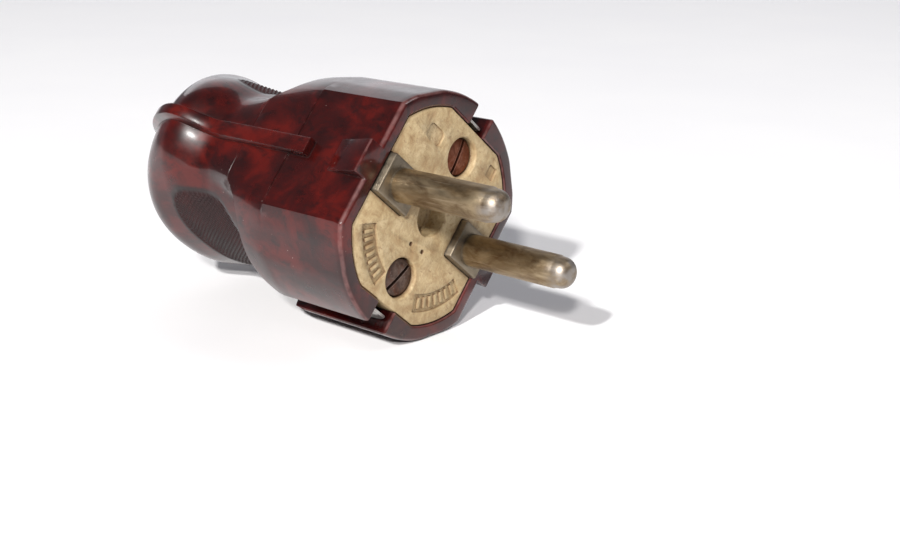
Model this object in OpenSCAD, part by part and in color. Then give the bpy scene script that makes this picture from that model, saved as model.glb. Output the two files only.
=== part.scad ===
// Two-pin earthed mains plug: one-piece moulded housing, pressed contact carrier,
// pins, side earth contacts and an inner cord clamp.
// Millimetres. X runs along the pins, away from the cord, and Z is up.
// The origin is on the plug's axis, in the plane of the collar's front face.
// Each module is drawn with its pin line along Y and its earth line along Z,
// and placed() then turns the whole plug about X to the way it lies on its collar.

/* [Pins] */
// Diameter of each pin
pin_d = 4.8; // [4.0:0.1:5.0]
// Distance between the two pin axes
pin_gap = 19; // [18:0.5:20]
// Length of a pin in front of the collar's face
pin_length = 19.3; // [17:0.1:22]
// Width of a pin's foot along the pin line
foot_w = 7.3; // [6.5:0.1:7.6]
// Height of a pin's foot across the pin line
foot_h = 6.1; // [5.6:0.1:7]
// How far the foot stands out of the collar's face
foot_proud = 1.0; // [0.5:0.1:2]

/* [Housing] */
// Diameter of the collar
collar_d = 36; // [35:0.5:37]
// Length of the straight collar
collar_length = 17; // [15:0.5:18]
// Distance across the two side flats
flats_w = 30.6; // [30:0.2:32]
// Distance across the neck along the pin line
neck_w = 30.8; // [30:0.2:32]
// Distance across the rear bulb along the pin line, before its rounded end takes from it
bulb_w = 38.4; // [36:0.2:39]
// Distance from the collar's face to where the neck starts to widen
bulb_x = 31.3; // [30:0.1:33]
// Distance from the collar's face to the tip of the rounded end, if it had no cord hole
bulb_tip = 54.8; // [53:0.1:57]
// Diameter of the cord hole
cord_hole_d = 9.2; // [7:0.2:10]
// Thickness of each side rib
rib_w = 2.5; // [2:0.1:3]
// Height of each side rib above the neck and the bulb
rib_h = 1.3; // [1:0.1:2]
// Distance across the bulb between the two thumb sides
bulb_h = 28.8; // [28:0.2:30]
// Distance from the plug's axis to the floor of a thumb hollow
hollow_floor = 12.9; // [12.6:0.1:13.6]
// Width of each earth slot
slot_w = 4.3; // [4:0.1:5]
// Turn about X from the drawn position to the lying position, in degrees
roll = 40.4; // [0:0.1:90]

/* [Contact carrier] */
// Diameter of the carrier
carrier_d = 31.4; // [31:0.1:31.6]
// Thickness of the carrier
carrier_t = 9.8; // [9:0.2:11]
// Distance across the carrier's flats on the pin line
carrier_w = 26.4; // [26:0.1:26.8]
// Distance across the carrier's flats on the earth line
carrier_h = 28.6; // [28:0.1:28.8]
// Distance from the axis to each fixing screw
fixing_r = 9.9; // [9.5:0.1:10.2]

/* [Earth parts] */
// Width of the earth strip
strip_w = 3.8; // [3.4:0.1:3.9]
// Thickness of the earth strip
strip_t = 0.7; // [0.5:0.1:1]
// Distance from the axis to the outer side of an earth contact
contact_r = 16; // [15.8:0.1:16.6]

/* [Hidden] */
$fn = 96;

cut = 1;                // how far a cutting shape runs past the face it cuts
thread_gap = 0.05;      // radial clearance of a thread drawn as a plain cylinder
pin_y = pin_gap / 2;
collar_r = collar_d / 2;
neck_r = neck_w / 2;
mouth_x = -53.4;        // rim around the cord hole
mouth_r = 6;            // radius within which the ribs' ends are cut back to the rim

// Carrier and the pocket that it sits in
carrier_face = -0.2;    // the carrier's front face, just behind the collar's face
carrier_back = carrier_face - carrier_t;
pocket_gap = 0.1;
foot_depth = 3;         // depth of a foot below the carrier's face
foot_gap = 0.05;
foot_back = carrier_face - foot_depth;
centre_hole_r = 2.9;
centre_hole_depth = 3.4;

// Pin tails and the nuts on them
tail_r = 2;
tail_back = -18.2;
tail_hole_r = tail_r + 0.15;
pin_nut_t = 2.4;
pin_nut_af = 6.2;
terminal_washer_r = 3.1;
terminal_washer_t = 0.7;
terminal_nut_r = 3;
terminal_nut_t = 2.8;
washer_back = carrier_back - pin_nut_t - terminal_washer_t;
nut_slot_w = 0.9;

// Fixing screws and the posts that hold their inserts
screw_r = 1.5;
screw_head_r = 2.75;
screw_head_t = 2;
head_hole_r = 2.95;
lower_head_x = -0.7;    // front of the lower screw's head
upper_head_x = -1.0;    // front of the upper screw's head, in a slightly deeper hole
screw_end = -18;
screw_clearance = 0.2;
post_r = 3.8;
post_front = carrier_back - strip_t;
post_back = -20;
insert_r = 2.65;
insert_back = -19;

// Earth line
bridge_end = contact_r;
contact_gap = 0.1;
contact_front = -1.2;
contact_root = carrier_back + contact_gap;
earth_screw_r = 1.5;
earth_screw_head_r = 2.7;
earth_screw_head_t = 1.8;
earth_screw_end = -7.2;
earth_washer_r = 3.1;
earth_washer_t = 0.6;

// Cord clamp
bracket_t = 1;
bracket_w = 9;
bracket_z = 5.4;        // outer face of the tongue, below the cord
bracket_back = -31;
tongue_w = 14;
clamp_x = -26.5;
clamp_y = 5.1;          // screw axes, each side of the cord
clamp_bar_z = 3.6;      // lower face of the bar
clamp_bar_t = 1.4;
clamp_bar_w = 6;
clamp_bar_half = 6.9;
clamp_screw_r = 1.15;
clamp_head_r = 1.9;
clamp_head_t = 1.3;
bracket_front = post_front;
foot_plate_back = bracket_front - bracket_t;

// Inside of the housing
cavity_r = 13;
cavity_back = -16.4;
throat_r = 10.8;
throat_x = -19.5;      // the throat runs from here to throat_back
throat_back = -30;
chamber_r = 8.6;
chamber_front = -36;
chamber_back = -41;
cord_hole_x = -45.4;

// Collar details
front_edge = 0.4;
land_w = 5;             // width of the narrow lands on the collar's rounds, on which the plug lies
land_r = sqrt(pow(collar_r, 2) - pow(land_w / 2, 2));
guide_h = 2.1;          // height of a guide wedge above its flat, at the front
guide_w = 5;
guide_length = 7.6;
flat_length = 16;
side_w = 31.1;          // distance across the flanks behind the flats
slot_floor = 13.9;      // a slot's inner side, inside the carrier's pocket
slot_back = -21.2;      // a slot runs out through the front wall of its thumb hollow
slot_bed = 14.8;        // a slot's bed behind the carrier's pocket
hollow_lip = -18.3;
hollow_front = -22.1;   // where the front wall meets the floor
hollow_end = -38;       // where the floor starts to rise to the bulb
hollow_rise = 7;

// Rear bulb
bulb_rise = 8.6;        // length over which the neck widens
round_x = -36.3;        // where the rounded end starts to take from the width
round_power = 1.75;
bulb_squash = 0.85;     // the bulb's size along the earth line over its size along the pin line
rib_start = -12;

/* Shared shapes */

module placed() {
    rotate([-roll, 0, 0]) children();
}

// A cylinder along X from x0 to x1, on the axis through y, z
module rod(x0, x1, r, y = 0, z = 0) {
    translate([min(x0, x1), y, z]) rotate([0, 90, 0]) cylinder(h = abs(x1 - x0), r = r);
}

// A block between x0 and x1, centred on y, z
module block(x0, x1, wy, wz, y = 0, z = 0) {
    translate([min(x0, x1), y - wy / 2, z - wz / 2]) cube([abs(x1 - x0), wy, wz]);
}

// A solid turned about X from an outline of [radius, x] points
module turned(points) {
    rotate([0, 90, 0]) rotate_extrude() polygon(points);
}

// A round disc with two flats along Y and two along Z
module flatted_disc(x0, x1, r, wy, wz) {
    intersection() {
        rod(x0, x1, r);
        block(x0, x1, wy, wz);
    }
}

// A slotted cheese head and its shank, along +X, with the head's top at x = 0
module slotted_screw(head_r, head_t, shank_r, length) {
    difference() {
        rod(-head_t, 0, head_r);
        translate([-head_t * 0.4, -0.35, -head_r - cut]) cube([head_t, 0.7, 2 * (head_r + cut)]);
    }
    rod(-length, -head_t, shank_r);
}

/* Housing */

// Radius of the shoulder between the collar and the neck
function shoulder_r(t) = neck_r + (collar_r - neck_r) * (0.5 + 0.5 * cos(180 * t));

function collar_outline() = concat(
    [[0, hollow_end], [neck_r, hollow_end]],
    [for (i = [0:12]) let (t = 1 - i / 12) [shoulder_r(t), -collar_length - 17 * t]],
    [[collar_r, -front_edge], [collar_r - front_edge, 0], [0, 0]]
);

module collar_blank() {
    difference() {
        intersection() {
            turned(collar_outline());
            block(hollow_end - cut, cut, side_w, collar_d + cut);
        }
        for (side = [-1, 1])
            block(-flat_length, cut, 10, collar_d, side * (flats_w / 2 + 5), 0);
        for (turn = [-roll, roll])
            for (side = [-1, 1])
                rotate([turn, 0, 0]) block(hollow_end, cut, collar_d, 2 * cut, 0, side * (land_r + cut));
    }
}

// Half the width of the neck and bulb along the pin line
function widening(x) = 0.5 - 0.5 * cos(180 * min(1, max(0, (-bulb_x - x) / bulb_rise)));
function rounding(x) = pow(1 - pow(max(0, (round_x - x) / (round_x + bulb_tip)), round_power), 1 / round_power);
function bulb_r(x) = (neck_r + (bulb_w / 2 - neck_r) * widening(x)) * rounding(x);
function bulb_slope(x) = (bulb_r(x + 0.01) - bulb_r(x - 0.01)) / 0.02;

// Stations from the neck to the rim around the cord hole, closer together at the rim
bulb_steps = 22;
bulb_stations = [for (i = [0:bulb_steps]) -bulb_x + (mouth_x + bulb_x) * sin(90 * i / bulb_steps)];

module bulb() {
    scale([1, 1, bulb_squash])
        turned(concat([[0, mouth_x]],
                      [for (i = [bulb_steps:-1:0]) [bulb_r(bulb_stations[i]), bulb_stations[i]]],
                      [[0, -bulb_x]]));
}

// Wedge on a flat, highest at the collar's face
module guide_wedge() {
    translate([0, 0, -guide_w / 2]) linear_extrude(height = guide_w)
        polygon([[0, flats_w / 2 - cut], [0, flats_w / 2 + guide_h],
                 [-guide_length, flats_w / 2], [-guide_length, flats_w / 2 - cut]]);
}

// A point of a rib's outer line, above the bulb at x
function rib_point(x, side) = let (s = bulb_slope(x), n = sqrt(1 + s * s))
    [x - rib_h * s / n, side * (bulb_r(x) + rib_h / n)];

// Both ribs in one plate, whose outline runs along the flanks and round the rear end
module rib_plate() {
    translate([0, 0, -rib_w / 2]) linear_extrude(height = rib_w)
        polygon(concat(
            [[rib_start, -neck_r - rib_h]],
            [for (i = [0:bulb_steps]) rib_point(bulb_stations[i], -1)],
            [for (i = [bulb_steps:-1:0]) rib_point(bulb_stations[i], 1)],
            [[rib_start, neck_r + rib_h]]
        ));
}

// Hollow for a thumb, cut across the pin line: a leaning front wall that leaves the
// collar's lip, a level floor and a soft rise to the flattened side of the bulb
module thumb_hollow() {
    translate([0, collar_r, 0]) rotate([90, 0, 0]) linear_extrude(height = collar_d)
        polygon(concat(
            [[hollow_lip, collar_r + cut], [hollow_front, hollow_floor]],
            [for (i = [0:6]) [hollow_end - hollow_rise * i / 6,
                hollow_floor + (bulb_h / 2 - hollow_floor) * (0.5 - 0.5 * cos(30 * i))]],
            [[mouth_x - 2 * cut, bulb_h / 2], [mouth_x - 2 * cut, collar_r + cut]]
        ));
}

module housing_inside() {
    flatted_disc(carrier_back - strip_t, cut, carrier_d / 2 + pocket_gap,
                 carrier_w + 2 * pocket_gap, carrier_h + 2 * pocket_gap);
    difference() {
        turned([[0, carrier_back], [cavity_r, carrier_back], [cavity_r, cavity_back], [throat_r, throat_x],
                [throat_r, throat_back], [chamber_r, chamber_front], [chamber_r, chamber_back],
                [cord_hole_d / 2, cord_hole_x], [0, cord_hole_x]]);
        for (side = [-1, 1])
            rod(post_back, post_front, post_r, 0, side * fixing_r);
    }
    rod(mouth_x - cut, cord_hole_x + cut, cord_hole_d / 2);
    rod(mouth_x - rib_h - cut, mouth_x, mouth_r);
    for (side = [-1, 1]) {
        rod(insert_back, post_front + cut, insert_r, 0, side * fixing_r);
        block(post_front, cut, slot_w, 2 * cut + collar_r - slot_floor, 0,
              side * (collar_r + slot_floor + 2 * cut) / 2);
        block(slot_back, post_front + cut, slot_w, 2 * cut + collar_r - slot_bed, 0,
              side * (collar_r + slot_bed + 2 * cut) / 2);
    }
}

module housing() {
    color([0.33, 0.06, 0.06]) placed() difference() {
        union() {
            difference() {
                union() {
                    collar_blank();
                    bulb();
                }
                thumb_hollow();
                mirror([0, 0, 1]) thumb_hollow();
            }
            rib_plate();
            guide_wedge();
            mirror([0, 1, 0]) guide_wedge();
        }
        housing_inside();
    }
}

module fixing_insert(side) {
    color([0.72, 0.56, 0.28]) placed() difference() {
        rod(insert_back, post_front, insert_r, 0, side * fixing_r);
        rod(insert_back - cut, post_front + cut, screw_r + thread_gap, 0, side * fixing_r);
    }
}

/* Carrier with its pins */

module contact_carrier() {
    color([0.86, 0.76, 0.58]) placed() difference() {
        flatted_disc(carrier_back, carrier_face, carrier_d / 2, carrier_w, carrier_h);
        for (side = [-1, 1]) {
            block(foot_back, cut, foot_w + 2 * foot_gap, foot_h + 2 * foot_gap, side * pin_y, 0);
            rod(carrier_back - cut, cut, tail_hole_r, side * pin_y, 0);
            rod(carrier_back - cut, cut, screw_r + screw_clearance, 0, side * fixing_r);
        }
        rod(lower_head_x - screw_head_t, cut, head_hole_r, 0, -fixing_r);
        rod(upper_head_x - screw_head_t, cut, head_hole_r, 0, fixing_r);
        rod(carrier_face - centre_hole_depth, cut, centre_hole_r);
        rod(carrier_back - cut, earth_screw_end + 0.3, earth_screw_r + screw_clearance);
    }
}

module pin(side) {
    tip_r = 1.6;        // radius of the round on the pin's end
    color([0.56, 0.50, 0.36]) placed() translate([0, side * pin_y, 0]) {
        turned(concat(
            [[0, tail_back], [tail_r, tail_back], [tail_r, foot_back], [pin_d / 2, foot_back]],
            [for (a = [0:15:90]) [pin_d / 2 - tip_r * (1 - cos(a)), pin_length - tip_r * (1 - sin(a))]],
            [[0, pin_length]]
        ));
        block(foot_back, foot_proud, foot_w, foot_h);
    }
}

module pin_nut(side) {
    color([0.70, 0.55, 0.30]) placed() translate([0, side * pin_y, 0]) difference() {
        translate([carrier_back - pin_nut_t, 0, 0]) rotate([0, 90, 0])
            cylinder(h = pin_nut_t, r = pin_nut_af / 2 / cos(30), $fn = 6);
        rod(carrier_back - pin_nut_t - cut, carrier_back + cut, tail_r + thread_gap);
    }
}

module terminal_washer(side) {
    color([0.66, 0.55, 0.33]) placed() translate([0, side * pin_y, 0]) difference() {
        rod(washer_back, washer_back + terminal_washer_t, terminal_washer_r);
        rod(washer_back - cut, washer_back + terminal_washer_t + cut, tail_r + thread_gap);
    }
}

// Round nut with a driver slot across its back
module terminal_nut(side) {
    color([0.72, 0.56, 0.28]) placed() translate([0, side * pin_y, 0]) difference() {
        rod(washer_back - terminal_nut_t, washer_back, terminal_nut_r);
        rod(washer_back - terminal_nut_t - cut, washer_back + cut, tail_r + thread_gap);
        block(washer_back - terminal_nut_t - cut, washer_back - terminal_nut_t + 0.9,
              nut_slot_w, 2 * terminal_nut_r + 2 * cut);
    }
}

/* Earth parts */

module earth_bridge() {
    color([0.62, 0.62, 0.60]) placed() difference() {
        block(carrier_back - strip_t, carrier_back, strip_w, 2 * bridge_end);
        for (side = [-1, 1])
            rod(carrier_back - 2 * cut, carrier_back + cut, screw_r + 0.15, 0, side * fixing_r);
        rod(carrier_back - 2 * cut, carrier_back + cut, earth_screw_r + thread_gap);
    }
}

// Leaf that runs forward from the bridge's end, in the housing's slot
module earth_contact(side) {
    color([0.78, 0.78, 0.76]) placed()
        block(contact_root, contact_front, strip_w, strip_t, 0, side * (contact_r - strip_t / 2));
}

module earth_washer() {
    color([0.66, 0.66, 0.62]) placed() difference() {
        rod(foot_plate_back - earth_washer_t, foot_plate_back, earth_washer_r);
        rod(foot_plate_back - 2 * cut, foot_plate_back + cut, earth_screw_r + 0.15);
    }
}

module earth_screw() {
    head_front = foot_plate_back - earth_washer_t;
    color([0.60, 0.60, 0.58]) placed() mirror([1, 0, 0])
        translate([-(head_front - earth_screw_head_t), 0, 0])
            slotted_screw(earth_screw_head_r, earth_screw_head_t, earth_screw_r,
                          earth_screw_end - head_front + earth_screw_head_t);
}

/* Cord clamp */

// Angle bracket: its foot is held on the bridge and its tongue runs back under the cord
module clamp_bracket() {
    color([0.58, 0.58, 0.55]) placed() difference() {
        union() {
            block(foot_plate_back, bracket_front, bracket_w, 2 * bracket_z);
            block(bracket_back, bracket_front, bracket_w, bracket_t, 0, -bracket_z + bracket_t / 2);
            block(clamp_x - 3, clamp_x + 3, tongue_w, bracket_t, 0, -bracket_z + bracket_t / 2);
        }
        rod(foot_plate_back - cut, bracket_front + cut, earth_screw_r + 0.15);
        for (side = [-1, 1])
            translate([clamp_x, side * clamp_y, -bracket_z - cut])
                cylinder(h = bracket_t + 2 * cut, r = clamp_screw_r + thread_gap);
    }
}

module clamp_bar() {
    color([0.45, 0.30, 0.18]) placed() difference() {
        block(clamp_x - clamp_bar_w / 2, clamp_x + clamp_bar_w / 2, 2 * clamp_bar_half, clamp_bar_t,
              0, clamp_bar_z + clamp_bar_t / 2);
        for (side = [-1, 1])
            translate([clamp_x, side * clamp_y, clamp_bar_z - cut])
                cylinder(h = clamp_bar_t + 2 * cut, r = clamp_screw_r + thread_gap);
    }
}

module clamp_screw(side) {
    top = clamp_bar_z + clamp_bar_t + clamp_head_t;
    color([0.60, 0.60, 0.58]) placed() translate([clamp_x, side * clamp_y, top]) rotate([0, -90, 0])
        slotted_screw(clamp_head_r, clamp_head_t, clamp_screw_r, top + bracket_z + 0.4);
}

/* Fixing screws */

module fixing_screw(side, head_x) {
    color([0.30, 0.27, 0.25]) placed() translate([head_x, 0, side * fixing_r])
        slotted_screw(screw_head_r, screw_head_t, screw_r, head_x - screw_end);
}

module fixing_insert_upper() fixing_insert(1);
module fixing_insert_lower() fixing_insert(-1);
module pin_left() pin(-1);
module pin_right() pin(1);
module pin_nut_left() pin_nut(-1);
module pin_nut_right() pin_nut(1);
module terminal_washer_left() terminal_washer(-1);
module terminal_washer_right() terminal_washer(1);
module terminal_nut_left() terminal_nut(-1);
module terminal_nut_right() terminal_nut(1);
module earth_contact_upper() earth_contact(1);
module earth_contact_lower() earth_contact(-1);
module clamp_screw_left() clamp_screw(-1);
module clamp_screw_right() clamp_screw(1);
module fixing_screw_upper() fixing_screw(1, upper_head_x);
module fixing_screw_lower() fixing_screw(-1, lower_head_x);

housing();
fixing_insert_upper();
fixing_insert_lower();
contact_carrier();
pin_left();
pin_right();
pin_nut_left();
pin_nut_right();
terminal_washer_left();
terminal_washer_right();
terminal_nut_left();
terminal_nut_right();
earth_bridge();
earth_contact_upper();
earth_contact_lower();
clamp_bracket();
earth_washer();
earth_screw();
clamp_bar();
clamp_screw_left();
clamp_screw_right();
fixing_screw_upper();
fixing_screw_lower();
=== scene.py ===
"""Looks of a two-pin mains plug with side earth contacts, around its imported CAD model.

Pieces are shaped in the plug's drawn frame, in millimetres: x runs along the pins, away from
the cord, p along the line of the two pins and e along the line of the two earth contacts.
finish_piece() then turns each one into the frame of the CAD model, in metres.
"""

import math

import bmesh
import bpy
import numpy as np
from mathutils import Matrix, Vector


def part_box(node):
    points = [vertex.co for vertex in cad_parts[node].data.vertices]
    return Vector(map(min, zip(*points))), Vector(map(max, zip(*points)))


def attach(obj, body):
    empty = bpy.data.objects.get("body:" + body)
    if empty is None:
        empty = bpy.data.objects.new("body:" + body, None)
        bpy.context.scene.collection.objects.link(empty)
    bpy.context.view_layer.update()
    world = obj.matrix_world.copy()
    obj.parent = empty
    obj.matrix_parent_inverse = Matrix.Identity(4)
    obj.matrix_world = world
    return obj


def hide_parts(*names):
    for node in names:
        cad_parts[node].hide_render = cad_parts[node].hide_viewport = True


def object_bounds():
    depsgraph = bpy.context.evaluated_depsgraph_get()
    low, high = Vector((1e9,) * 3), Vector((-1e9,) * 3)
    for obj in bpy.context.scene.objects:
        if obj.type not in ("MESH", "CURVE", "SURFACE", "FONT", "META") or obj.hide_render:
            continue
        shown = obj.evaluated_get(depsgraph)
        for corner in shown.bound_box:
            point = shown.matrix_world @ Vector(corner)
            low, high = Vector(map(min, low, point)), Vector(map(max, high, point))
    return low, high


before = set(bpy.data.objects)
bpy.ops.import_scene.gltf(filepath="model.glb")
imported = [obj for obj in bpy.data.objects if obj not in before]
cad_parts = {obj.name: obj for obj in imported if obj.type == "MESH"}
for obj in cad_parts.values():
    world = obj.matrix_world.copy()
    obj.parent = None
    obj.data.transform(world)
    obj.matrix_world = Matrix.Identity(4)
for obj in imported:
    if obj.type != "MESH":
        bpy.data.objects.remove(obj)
cad_low, cad_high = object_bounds()

MM = 0.001
SMOOTH_ANGLE = math.radians(32)

# ---- the drawn frame

pin_low, pin_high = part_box("pin_right")
pin_centre = (pin_low + pin_high) / 2
ROLL = math.atan2(pin_centre.z, pin_centre.y)
PLACE = Matrix.Rotation(ROLL, 4, "X") @ Matrix.Scale(MM, 4)
UNPLACE = PLACE.inverted()


def drawn_box(node):
    """Lowest and highest corners (x, p, e) of a CAD node in the drawn frame, in millimetres."""
    points = [UNPLACE @ vertex.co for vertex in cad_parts[node].data.vertices]
    return np.min(points, axis=0), np.max(points, axis=0)


def middle(low, high):
    """Centre (p, e) of a drawn box."""
    return (low[1] + high[1]) / 2, (low[2] + high[2]) / 2


def half_across(low, high):
    """Half of a drawn box along the pin line, which is the radius of a round piece."""
    return (high[1] - low[1]) / 2


# ---- mesh helpers


def linked(name, data):
    """An object in the scene that holds the data."""
    item = bpy.data.objects.new(name, data)
    bpy.context.scene.collection.objects.link(item)
    return item


def new_object(name, points, faces):
    mesh = bpy.data.meshes.new(name)
    mesh.from_pydata([tuple(point) for point in points], [], faces)
    mesh.validate()
    piece = linked(name, mesh)
    face_outwards(piece)
    return piece


def face_outwards(piece):
    """Turns every face's normal outwards and drops doubled points."""
    shape = bmesh.new()
    shape.from_mesh(piece.data)
    bmesh.ops.remove_doubles(shape, verts=shape.verts, dist=0.0005)
    bmesh.ops.recalc_face_normals(shape, faces=shape.faces)
    if shape.calc_volume(signed=True) < 0:
        bmesh.ops.reverse_faces(shape, faces=shape.faces)
    shape.to_mesh(piece.data)
    shape.free()


def grid_faces(rows, columns, closed_rows=False):
    """Quads over a grid of points whose columns run all the way round."""
    last = rows if closed_rows else rows - 1
    faces = []
    for i in range(last):
        for j in range(columns):
            k = (j + 1) % columns
            below = (i + 1) % rows
            faces.append((i * columns + j, i * columns + k, below * columns + k, below * columns + j))
    return faces


def tube(name, points, columns):
    """A solid from rings of that many points each, capped at both ends."""
    faces = grid_faces(len(points) // columns, columns)
    faces.append(tuple(range(columns)))
    faces.append(tuple(range(len(points) - columns, len(points))))
    return new_object(name, points, faces)


def revolve(name, profile, centre=(0, 0), columns=64, ring=False):
    """A solid turned about an axis along x from (x, radius) points.

    The profile runs from one end to the other, and is capped there; with ring=True it closes
    on itself instead, as a washer's section does.
    """
    angles = np.arange(columns) * 2 * math.pi / columns
    points = []
    for x, radius in profile:
        for angle in angles:
            points.append((x, centre[0] + radius * math.sin(angle), centre[1] + radius * math.cos(angle)))
    if ring:
        return new_object(name, points, grid_faces(len(profile), columns, closed_rows=True))
    return tube(name, points, columns)


def threaded(name, start, end, radius, pitch, centre=(0, 0)):
    """A screw thread along x, cut into a rod of that radius, with a short lead-in at its end."""
    columns = 32
    per_turn = 8
    depth = 0.45 * pitch
    count = max(4, int(abs(end - start) / pitch * per_turn))
    points = []
    for i in range(count + 1):
        x = start + (end - start) * i / count
        near_end = min(1.0, abs(x - end) / pitch)
        for j in range(columns):
            phase = (abs(x - start) / pitch + j / columns) % 1
            groove = 1 - abs(2 * phase - 1)
            r = radius - depth * max(0.0, 1.25 * groove - 0.25) - 0.35 * pitch * (1 - near_end)
            angle = 2 * math.pi * j / columns
            points.append((x, centre[0] + r * math.sin(angle), centre[1] + r * math.cos(angle)))
    return tube(name, points, columns)


def prism(name, outline, start, end, axis="x"):
    """An outline of (a, b) points pushed along an axis: (p, e) along x, or (x, p) along e."""
    points = []
    for level in (start, end):
        for a, b in outline:
            points.append((level, a, b) if axis == "x" else (a, b, level))
    count = len(outline)
    faces = [tuple(range(count)), tuple(range(count, 2 * count))]
    for i in range(count):
        k = (i + 1) % count
        faces.append((i, k, count + k, count + i))
    return new_object(name, points, faces)


def block(name, low, high):
    """A box between two (x, p, e) corners."""
    outline = [(low[1], low[2]), (high[1], low[2]), (high[1], high[2]), (low[1], high[2])]
    return prism(name, outline, low[0], high[0])


def rounded_outline(width, height, radius, centre=(0, 0), steps=5):
    """A rectangle's outline with round corners."""
    outline = []
    for k, (side_a, side_b) in enumerate([(1, 1), (-1, 1), (-1, -1), (1, -1)]):
        for i in range(steps + 1):
            angle = math.pi / 2 * (k + i / steps)
            a = side_a * (width / 2 - radius) + radius * math.cos(angle)
            b = side_b * (height / 2 - radius) + radius * math.sin(angle)
            outline.append((centre[0] + a, centre[1] + b))
    return outline


def circle_outline(radius, centre):
    steps = 48
    angles = np.arange(steps) * 2 * math.pi / steps
    return [(centre[0] + radius * math.cos(a), centre[1] + radius * math.sin(a)) for a in angles]


def apply_modifiers(piece):
    """Bakes the piece's modifiers into its mesh."""
    graph = bpy.context.evaluated_depsgraph_get()
    mesh = bpy.data.meshes.new_from_object(piece.evaluated_get(graph))
    piece.modifiers.clear()
    piece.data = mesh


def combine(piece, operation, *tools):
    """Adds (UNION), cuts away (DIFFERENCE) or cuts down to (INTERSECT) the tools, which are used up."""
    for tool in tools:
        modifier = piece.modifiers.new("combine", "BOOLEAN")
        modifier.operation = operation
        modifier.solver = "EXACT"
        modifier.object = tool
    apply_modifiers(piece)
    for tool in tools:
        bpy.data.objects.remove(tool)
    return piece


def cut(piece, *tools):
    """Cuts the tools out of the piece."""
    return combine(piece, "DIFFERENCE", *tools)


def soften(piece, width, segments=2, angle=35):
    """Rounds the piece's edges."""
    modifier = piece.modifiers.new("soften", "BEVEL")
    modifier.width = width
    modifier.segments = segments
    modifier.limit_method = "ANGLE"
    modifier.angle_limit = math.radians(angle)
    modifier.use_clamp_overlap = True
    apply_modifiers(piece)
    return piece


def join(name, *parts):
    """One object from closed parts that touch or overlap, kept as separate shells."""
    shape = bmesh.new()
    for part in parts:
        shape.from_mesh(part.data)
    mesh = bpy.data.meshes.new(name)
    shape.to_mesh(mesh)
    shape.free()
    for part in parts:
        bpy.data.objects.remove(part)
    return linked(name, mesh)


def finish_piece(piece, body, slot, material, *nodes):
    """Places, shades and paints a piece, and ties it to its CAD body and nodes."""
    piece.data.transform(PLACE)
    piece.data.shade_smooth()
    piece.data.set_sharp_from_angle(angle=SMOOTH_ANGLE)
    piece.data.materials.clear()
    piece.data.materials.append(material)
    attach(piece, body)
    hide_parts(*nodes)
    return piece


# ---- finishes

PAD_X = -33.8  # centre of a knurled pad
PAD_HALF = 6.6  # half of its length
PAD_ANGLE = 53.0  # half of its width, in degrees from the earth line
PAD_POWER = 4.0  # superellipse of its outline

DARK_RED = (0.017, 0.0016, 0.0014)
MID_RED = (0.034, 0.002, 0.0015)
BRIGHT_RED = (0.070, 0.0036, 0.002)
BLACK_RED = (0.007, 0.0012, 0.0013)
# pale red for real wear on sharp edges and for the painted highlight on the front rim
WEAR_AND_HIGHLIGHT_RED = (0.20, 0.09, 0.085)
PAD_BROWN = (0.014, 0.006, 0.0065)
FIBRE_WHITE = (0.34, 0.26, 0.24)
CREAM_LIGHT = (0.46, 0.355, 0.205)
CREAM_MID = (0.39, 0.29, 0.155)
CREAM_STAIN = (0.30, 0.20, 0.098)
CREAM_BROWN = (0.20, 0.115, 0.05)
CREAM_RECESS_SHADE = (0.11, 0.055, 0.025)
NICKEL = (0.33, 0.30, 0.27)
FOOT_GREY = (0.22, 0.195, 0.155)


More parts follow.
